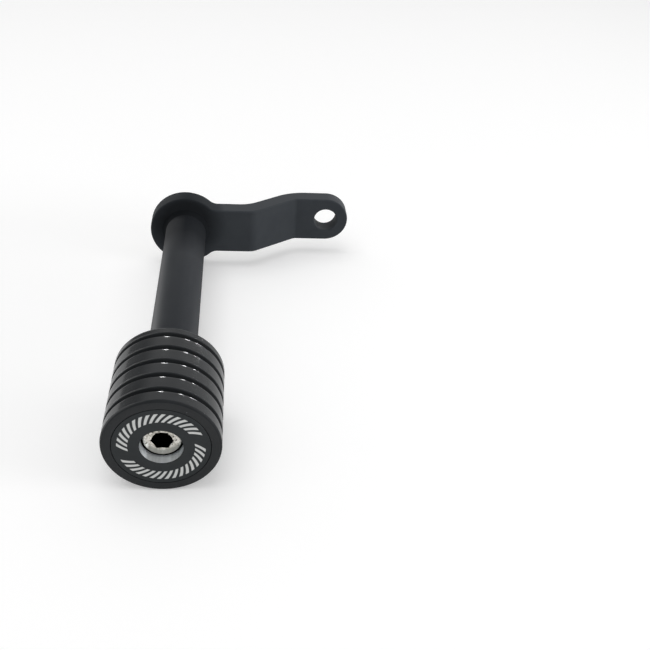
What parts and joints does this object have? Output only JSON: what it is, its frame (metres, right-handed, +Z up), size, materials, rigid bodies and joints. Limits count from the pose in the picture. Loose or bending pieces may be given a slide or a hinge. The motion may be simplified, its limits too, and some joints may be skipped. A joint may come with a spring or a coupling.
{
  "type": "motorcycle frame slider",
  "caption": "Crash protector for a motorcycle frame: grooved plastic puck on a steel standoff tube with a cranked steel mounting bracket, held by a long socket screw.",
  "frame": {"origin": "centre of the bracket's back face, on the axis of the long screw", "axes": "+Y along the screw into the motorcycle, +X along the bracket's arm, +Z up"},
  "size_m": [0.1226, 0.2142, 0.05],
  "materials": {
    "puck_plastic": "turned black acetal, satin, with polished ring edges",
    "black_anodised_aluminium": "matt black anodised, bore machined bright",
    "zinc_plated_steel": "bright zinc plate",
    "black_coated_steel": "satin black powder coat, fine texture"
  },
  "bodies": {
    "root": {"puck": "puck_plastic", "end_disc": "black_anodised_aluminium", "socket_screw": "zinc_plated_steel", "spring_washer": "zinc_plated_steel", "plain_washer": "zinc_plated_steel", "standoff_tube": "black_coated_steel", "tube_weld": "black_coated_steel", "mounting_bracket": "black_coated_steel"}
  },
  "joints": []
}
